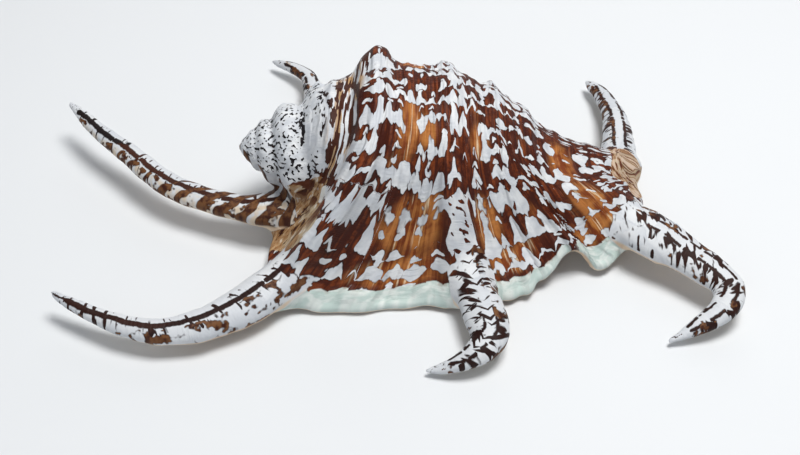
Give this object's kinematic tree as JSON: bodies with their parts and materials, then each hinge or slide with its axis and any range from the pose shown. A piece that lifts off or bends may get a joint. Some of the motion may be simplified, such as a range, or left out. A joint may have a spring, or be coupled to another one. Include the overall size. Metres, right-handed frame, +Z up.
{
  "type": "seashell",
  "caption": "Spider conch shell lying on its aperture: stepped spire, knobbed body whorl, wide flared lip and long hooked digits, white with chocolate zigzag bands.",
  "frame": {"origin": "on the surface the shell lies on, under the middle of its footprint", "axes": "+Z up, +X towards the front (siphonal) end of the coiling axis, -Y towards the flared outer lip"},
  "size_m": [0.2008, 0.1346, 0.0529],
  "materials": {
    "shell": "dull polished lime shell, white with chocolate brown and caramel blotches"
  },
  "bodies": {
    "root": {"shell": "shell"}
  },
  "joints": []
}
